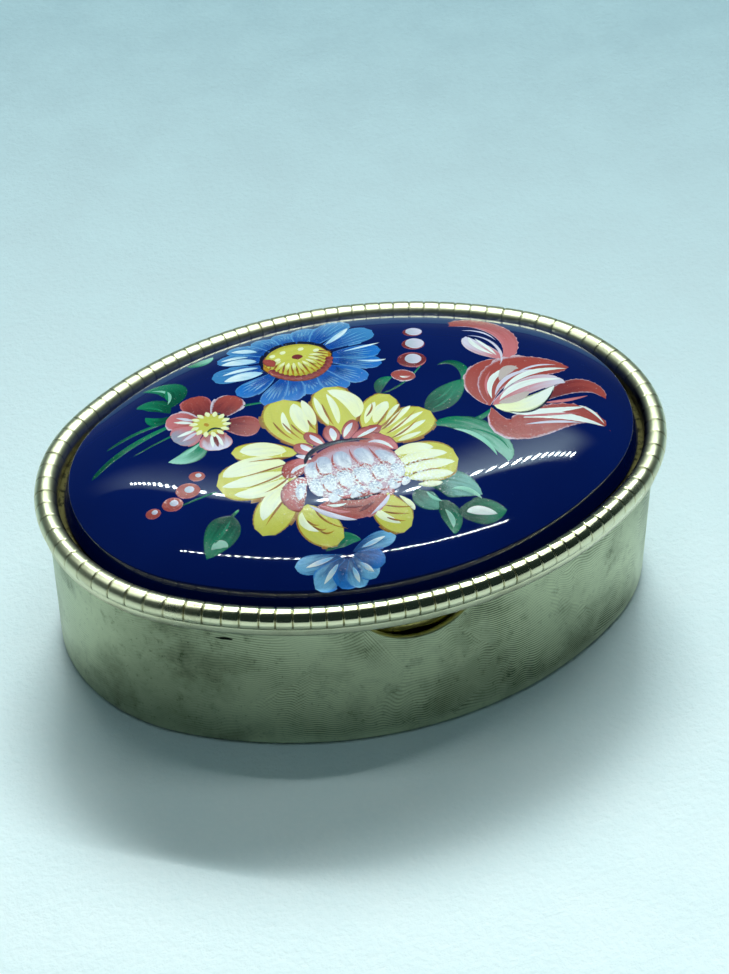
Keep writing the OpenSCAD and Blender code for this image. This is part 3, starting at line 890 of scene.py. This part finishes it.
for *spine, width in (
        (-5.3, 0.6, -5.3, 2, -5, 3.5, 0.5), (-4, 0.2, -4, 2.4, -3.8, 4.2, 1.1),
        (-3.1, 0.9, -3, 2.6, -3, 4.4, 0.7), (-2, 0.6, -2, 2.4, -1.9, 4.4, 0.5),
        (-1.2, 0.4, -0.8, 2.4, -0.8, 4.4, 0.55), (0.4, 0.6, 0.8, 2.8, -0.6, 4.8, 1.3),
        (0.9, -0.4, 1.8, 1, 2.6, 2, 0.6), (1.6, -0.6, 2.7, 0.8, 3.6, 1.7, 0.9),
        (2.6, -0.6, 3.6, 0.4, 4.4, 1, 0.35), (2.2, -1.5, 3.8, -0.4, 5.2, 0.5, 0.5),
        (2.3, -2.2, 4, -1.3, 5.9, -0.6, 0.5), (2.4, -2.9, 4, -2.3, 5.7, -1.7, 0.55),
        (2.6, -3.4, 3.6, -3.2, 4.8, -3, 0.4), (-6.4, -1.4, -8.2, -0.5, -10, -0.1, 1.5),
        (-6.9, -2.9, -9.6, -2.2, -12.3, -2.6, 1.7), (-7.2, -3.9, -9.8, -3.9, -12.7, -3.7, 1.1),
        (-7.4, -4.7, -9.8, -5.3, -12.1, -4.9, 1.1), (-7.9, -5.9, -9.4, -6.6, -10.9, -8.4, 1.2),
        (-7.7, -8.7, -7.9, -9.9, -7.1, -11, 0.5), (-2, -10.2, -1.7, -11.2, -0.6, -12.3, 0.6),
        (0.3, -9.6, 0.8, -10.6, 0.9, -11.4, 0.4), (1.6, -4.9, 3.4, -4.7, 5, -5.2, 1),
        (1.6, -6, 3.8, -5.8, 5.8, -6.2, 1), (1.6, -7.1, 3.8, -7, 6, -7.4, 1),
        (1.7, -8.1, 3.6, -8.2, 5.4, -8.6, 0.9), (2.2, -8.9, 3.2, -9.2, 4.2, -9.3, 0.5)):
    outer.stroke(spine, width * fuller, cream, rgb(240, 240, 214), rim=cream, blunt=0.6, streak=0.7)
for spine in (
        (-6.2, 2.6, -5.9, 1, -5.3, -0.3), (-5.5, 2.2, -5.2, 0.8, -4.7, -0.5),
        (-4.9, 1.8, -4.6, 0.6, -4.1, -0.4), (-3.4, 1.8, -3.4, 1, -3.2, 0.2),
        (-1.6, 3.4, -1.7, 1.6, -1.6, 0.3), (1.2, 0.4, 2, 1.2, 2.3, 2), (1.6, -1, 2.6, -0.1, 3.4, 0.8),
        (1.8, -1.6, 3, -0.9, 4.6, 0.5), (2, -2.2, 3.4, -1.6, 5.4, -0.2),
        (2.2, -2.9, 3.6, -2.4, 5.2, -1.3), (-6.3, -2.2, -8, -1.9, -9.8, -1.6),
        (-6.5, -2.9, -8.8, -3.1, -11, -3.2), (-6.7, -3.6, -8.8, -4.3, -10.8, -4.5),
        (-7, -4.3, -8.4, -5.2, -9.8, -5.6), (-8.2, -6.6, -9.6, -7.8, -10.9, -9),
        (-7.6, -9.6, -7.3, -10.2, -6.8, -10.4), (-7.4, -10.3, -6.9, -10.9, -6.4, -10.9),
        (-7, -11, -6.5, -11.4, -5.9, -11.3), (-6.6, -8.6, -6.2, -10.2, -4.8, -11.5),
        (-1.2, -10.2, -0.2, -10.7, 0.9, -11), (-1.5, -10.8, -0.6, -11.3, 0.5, -11.6),
        (-1.5, -11.4, -0.9, -11.9, -0.1, -12.2), (1.8, -6.6, 3.4, -6.4, 4.8, -6.7),
        (1.8, -7.7, 3.4, -7.6, 4.6, -7.9)):
    outer.stroke(spine, 0.2, earth, ochre, swell=0.4, blunt=0.8)
outer.finish()

# Its heart: a pink ruff and a heavy ball, lilac above and brick red below, with a dark crease
ball = Paint("painted_great_flower_ball")
for *spine, width in (
        (-7.6, -4.6, -6.4, -3.6, -5, -3, 2), (-5.4, -0.8, -5, -1.6, -4.2, -2.6, 1.5),
        (-4.1, 0.3, -3.8, -0.7, -3.2, -1.9, 1.4), (-2, 0.5, -2.2, -0.6, -2.3, -2, 1.5),
        (0.1, 0.5, -0.5, -0.5, -1.4, -1.7, 1.4), (2, -1.1, 0.6, -1.5, -0.9, -1.9, 1.5),
        (-0.4, -2.4, 1, -2.7, 2.2, -4.4, 1.9), (-7.8, -8.6, -7.6, -6.6, -6, -5, 2.2)):
    ball.stroke(spine, width, brick, rose, rim=wine, blunt=0.6, streak=0.8)
for *spine, width in (
        (-7, -4.2, -6.2, -3.7, -5.2, -3.5, 0.4), (-5, -1, -4.8, -1.6, -4.2, -2.4, 0.55),
        (-3.9, -0.1, -3.7, -0.8, -3.2, -1.7, 0.5), (-2, 0.1, -2.1, -0.7, -2.3, -1.6, 0.6),
        (-0.1, 0.1, -0.7, -0.5, -1.4, -1.4, 0.5), (1.6, -1.2, 0.7, -1.5, -0.4, -1.8, 0.4),
        (0.2, -2.7, 1.2, -3, 1.9, -4.2, 0.4), (-5.9, -2.2, -5.3, -2.6, -4.8, -3.1, 0.5)):
    ball.stroke(spine, width, lilac, milk, blunt=0.7, streak=0.8)
mauve = rgb(196, 160, 178)
ball.stroke([(-5.6, -3.6), (-4.0, -2.0), (-1.6, -1.8), (0.6, -2.4)], 0.55, night, night, rim=wine,
            swell=0.4, blunt=0.6)
ball.stroke([(-6.2, -6.4), (-2.1, -6.0), (2.0, -6.4)], 8.0, mauve, mauve, rim=brick, blunt=0.5, streak=0.6)
ball.stroke([(-6.4, -8.6), (-3.4, -9.6), (-0.6, -9.2)], 2.8, brick, brick, rim=rose, blunt=0.6, streak=0.9)
for *spine, width in (
        (-5.3, -5.4, -5.3, -4.4, -4.6, -3.6, 1), (-3.9, -5.2, -4.2, -4.2, -3.6, -3.2, 1.25),
        (-2.2, -5.2, -2.5, -4, -2.2, -3, 1.25), (-0.4, -5.4, -0.7, -4.2, -0.9, -3.1, 1.2),
        (1.2, -6, 1, -5, 0.4, -3.9, 0.95), (-5.6, -7.6, -5.6, -6.4, -5.1, -5.6, 1),
        (-4.4, -7.4, -4.5, -6.2, -4, -5.4, 1.2), (-3, -7.4, -3.1, -6.2, -2.8, -5.4, 1.25),
        (-1.5, -7.4, -1.6, -6.2, -1.4, -5.4, 1.25), (0, -7.4, -0.1, -6.4, -0.2, -5.6, 1.2),
        (1.3, -7.6, 1.3, -6.8, 1.1, -6, 0.9), (-5, -8.6, -4.6, -8, -3.8, -7.4, 0.9),
        (-3.4, -8.6, -2.8, -8, -2.2, -7.5, 1), (-1.6, -8.7, -1.2, -8.1, -0.8, -7.5, 1),
        (0, -8.7, 0.4, -8.2, 0.7, -7.6, 0.9), (1, -8.6, 1.4, -8.2, 1.6, -7.8, 0.6),
        (-7.4, -7.4, -7, -6.4, -6.4, -5.6, 0.7)):
    ball.stroke(spine, width * fuller, rgb(228, 226, 236), rgb(178, 184, 208), rim=rgb(190, 168, 190),
                swell=0.55, blunt=0.45, streak=0.9)
for spine in (
        (-4.6, -3.5, -4.8, -4.8, -4.4, -5.4), (-3, -3.1, -3.4, -4.4, -3, -5.6),
        (-1.5, -2.9, -1.6, -4.2, -1.2, -5.6), (0, -3.2, 0.2, -4.6, 0.4, -5.8),
        (-4.9, -5.6, -4.2, -5.3, -3.6, -5.9), (-3.3, -5.5, -2.6, -5.2, -2.1, -5.9),
        (-1.7, -5.5, -1, -5.2, -0.5, -5.9), (-0.1, -5.8, 0.6, -5.5, 1, -6.2),
        (-5, -6.2, -5, -7, -4.6, -7.6), (-3.6, -6.2, -3.7, -7, -3.2, -7.6),
        (-2.2, -6.2, -2.3, -7, -1.9, -7.6), (-0.7, -6.2, -0.8, -7, -0.4, -7.6),
        (-4.4, -7.8, -3.8, -8.4, -3.2, -8), (-2.8, -7.9, -2.2, -8.5, -1.6, -8.1),
        (-1.2, -8, -0.6, -8.6, 0, -8.2), (0.5, -7.6, 0.8, -8.2, 1.2, -8)):
    ball.stroke(spine, 0.2, brick, rose, blunt=0.8)
for *spine, width, tint in (
        (-4.4, -8.4, -2.6, -8.9, -0.9, -8.8, 0.3, night),
        (-6.9, -8.2, -5.6, -9.8, -3.8, -10.9, 0.5, lilac), (-6.2, -8.4, -5.2, -9.4, -4, -10, 0.35, rose),
        (-2.6, -10.8, -1.2, -10, -0.4, -9.2, 0.35, lilac), (-4.8, -9, -3.8, -9.5, -2.8, -9.7, 0.3, wine),
        (-3.4, -10.2, -2.6, -9.9, -1.8, -9.6, 0.35, wine), (-5.6, -8.6, -4.8, -9, -4, -9, 0.3, milk),
        (-2.4, -9.3, -1.7, -9.1, -1, -9.3, 0.3, rose)):
    ball.stroke(spine, width, tint, tint, blunt=0.7, streak=0.8)
ball.finish()


# ========================================
# The table, the light and the camera. The table is a sheet of pale blue satin paper.
# ========================================

paper = Finish("pale_blue_satin_paper", Coat_Weight=1.0, Coat_IOR=1.9, Coat_Roughness=0.42, Roughness=0.6)
fibres = paper.noise(1.6, 4, 0.65)
mottle = paper.noise(0.12, 5, 0.6)
# The paper is painted paler towards the front left, as a painted pool of light and sheen
spot_x, spot_y, _ = paper.axes(paper.place())
painted_light_falloff = (spot_x * -0.35 - spot_y * 0.94).step(-190, 110)
ground = paper.mix(painted_light_falloff, rgb(86, 141, 158), rgb(252, 255, 255))
flecked = (fibres * 0.35 + mottle * 0.65).step(0.3, 0.7) * 0.25
paper.feed(Base_Color=paper.mix(flecked, ground, rgb(200, 226, 232)),
           Normal=paper.bump(fibres * 0.7 + mottle * 0.8, 0.24, 0.8))
table_half = 3000
table_steps = np.linspace(-1, 1, 41) ** 3 * table_half
table_x, table_y = np.meshgrid(table_steps, table_steps, indexing="ij")
table_points = np.stack([table_x, table_y, np.full(table_x.shape, -0.02)], -1)
table = grid_mesh("table_paper", table_points, closed_u=False)
table.data.materials.append(paper.material)


def toward(azimuth, elevation, distance):
    """A place seen from the box: azimuth 0 is behind it and 90 to its right."""
    a, e = math.radians(azimuth), math.radians(elevation)
    return Vector((math.sin(a) * math.cos(e), math.cos(a) * math.cos(e), math.sin(e))) * distance


def lamp(name, place, size, power, colour=(0.86, 1.0, 0.99)):
    """A flat soft lamp that faces the box."""
    light = bpy.data.lights.new(name, "AREA")
    light.shape = "RECTANGLE"
    light.size, light.size_y = size
    light.energy = power
    light.color = colour
    holder = bpy.data.objects.new(name, light)
    holder.location = place
    holder.rotation_euler = place.to_track_quat("Z", "Y").to_euler()
    bpy.context.scene.collection.objects.link(holder)
    return holder


# A window and a row of small lamps behind the box, a row over it, and light from the room
row_azimuth, row_elevation = 35, 52
window = lamp("window", toward(21, 46, 0.9), (0.3, 0.22), 5.1)
row_middle = toward(row_azimuth, row_elevation, 0.9)
row_way = Vector((math.cos(math.radians(row_azimuth)), -math.sin(math.radians(row_azimuth)), 0))
for k, offset in enumerate(np.linspace(-0.53, 0.29, 33)):
    lamp(f"back_row_{k}", row_middle + row_way * offset, (0.009, 0.011), 0.07)
# The row over the box bends to the right above the middle of the lid
for k, x in enumerate(np.linspace(-0.18, 0.48, 42)):
    y = np.interp(x, (-0.18, 0.06, 0.2, 0.3, 0.48), (0.23, 0.105, 0.078, 0.066, 0.06))
    lamp(f"ceiling_row_{k}", Vector((x, y, 0.9)), (0.007, 0.007), 0.035)
fill = lamp("fill", toward(195, 68, 1.2), (0.9, 0.9), 2.4, (0.62, 0.93, 1.0))
for unseen in (window, fill):
    unseen.visible_glossy = False
# A wide soft strip overhead lights the rim alone, so its bead shines along the top
strip = lamp("rim_strip", Vector((0, 0.2, 0.8)), (1.3, 0.5), 2.4)
rim_alone = bpy.data.collections.new("rim_alone")
rim_alone.objects.link(rim)
strip.light_linking.receiver_collection = rim_alone


class Room(Finish):
    """The dim room round the table, seen only in reflections: a node tree for the world."""

    def __init__(self):
        world = bpy.data.worlds.new("room")
        world.use_nodes = True
        bpy.context.scene.world = world
        self.tree = world.node_tree
        self.shader = self.tree.nodes["Background"]


room = Room()
way = room.node("ShaderNodeTexCoord", out="Generated")
east, north, height = room.axes(way)
round_room = east.maths("ARCTAN2", north)
upward = height.maths("ARCSINE")
degree = math.radians(1)
# A soft bright band stands under the row of lamps behind the box, and is fainter at the left
row_bearing = (round_room - row_azimuth * degree).maths("COSINE")
row_height = (row_bearing * math.tan(row_elevation * degree)).maths("ARCTANGENT")
under_row = upward - row_height
band_glow = under_row.step(-10 * degree, 0) * (1 - under_row.step(0, 1.2 * degree))
band_glow = band_glow * round_room.step(-24 * degree, -2 * degree)
band_glow = band_glow * (1 - round_room.step(50 * degree, 66 * degree))
band_glow = band_glow * (round_room.step(0, 34 * degree) * 0.65 + 0.35)
back_wall = north.step(-0.5, 0.4)
room_glow = room.mix(back_wall, (0.012, 0.022, 0.022, 1), (0.055, 0.085, 0.085, 1))
horizon = (1 - upward.step(0, 10 * degree)) * back_wall
room_glow = room.mix(horizon, room_glow, (0.11, 0.15, 0.16, 1))
room.feed(Color=room.mix(band_glow, room_glow, (3.4, 4.6, 4.9, 1)), Strength=1.0)

camera = bpy.data.cameras.new("camera")
camera.sensor_fit = "HORIZONTAL"
camera.sensor_width = 36
camera.lens = 148.1
camera.clip_start = 0.01
camera.clip_end = 50
eye = bpy.data.objects.new("camera", camera)
bpy.context.scene.collection.objects.link(eye)
azimuth, elevation, roll = (math.radians(angle) for angle in (-20.5, 40.63, -0.373))
level = math.cos(elevation)
back = Vector((math.sin(azimuth) * level, -math.cos(azimuth) * level, math.sin(elevation)))
right = Vector((math.cos(azimuth), math.sin(azimuth), 0))
up = back.cross(right)
right, up = right * math.cos(roll) + up * math.sin(roll), up * math.cos(roll) - right * math.sin(roll)
target = Vector((2.07, 3.12, 8.0)) * MM
stand = target + back * 256.9 * MM
eye.matrix_world = Matrix([[right[k], up[k], back[k], stand[k]] for k in range(3)] + [[0, 0, 0, 1]])
bpy.context.scene.camera = eye
bpy.context.scene.view_settings.view_transform = "Standard"
